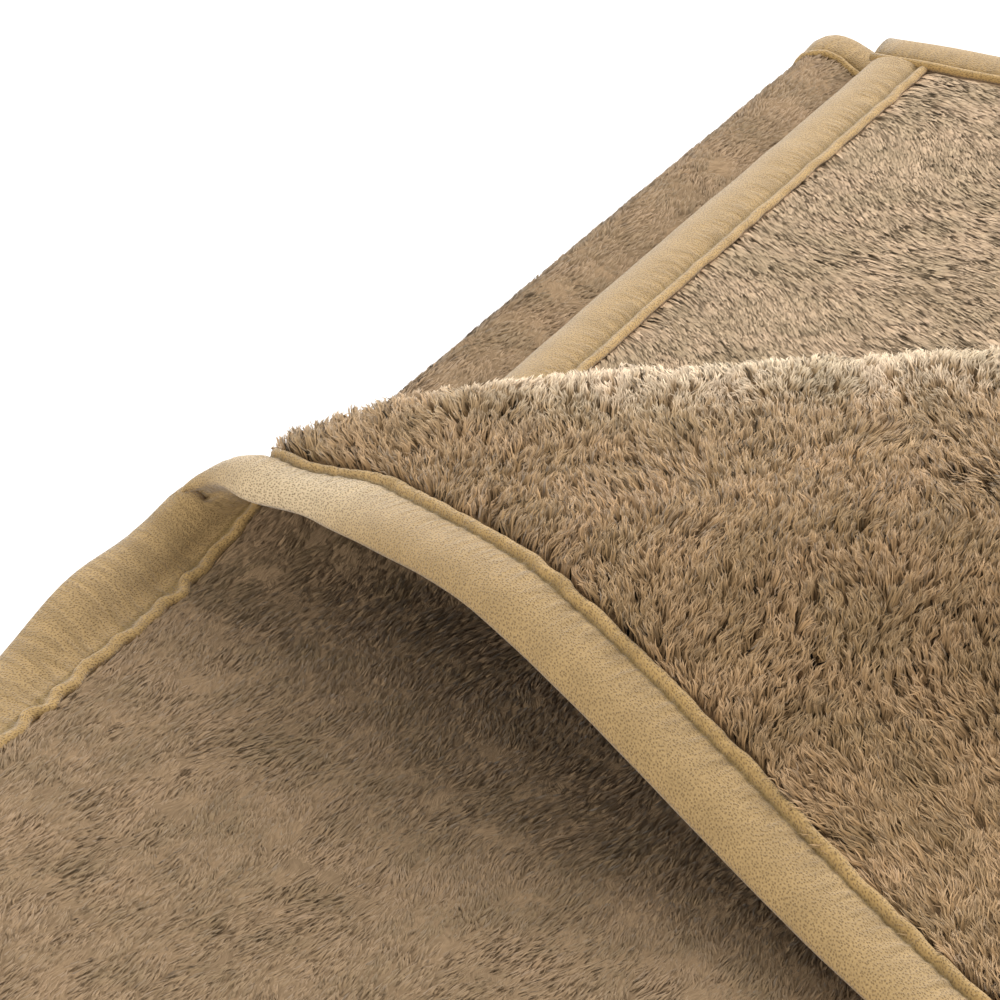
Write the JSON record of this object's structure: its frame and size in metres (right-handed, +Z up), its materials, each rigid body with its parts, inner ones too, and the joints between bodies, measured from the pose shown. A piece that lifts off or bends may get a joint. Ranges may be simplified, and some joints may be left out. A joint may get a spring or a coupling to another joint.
{
  "type": "fleece blanket",
  "caption": "Folded pile fleece blanket bound with knitted tape, one corner of the top layer turned over in a loose roll to show its long pile.",
  "frame": {"origin": "on the surface the blanket lies on, under the middle of the folded pack", "axes": "+X across the folds from the shoulder fold to the outer fold, +Y along the folds from the front edge to the back edge, +Z up"},
  "size_m": [0.4116, 0.3422, 0.045],
  "materials": {
    "fleece": "soft pile, matt",
    "binding": "fine knit, matt"
  },
  "bodies": {
    "root": {"fleece_panel": "fleece", "top_end_binding": "binding", "lower_end_binding": "binding", "front_binding": "binding", "back_binding": "binding"}
  },
  "joints": []
}
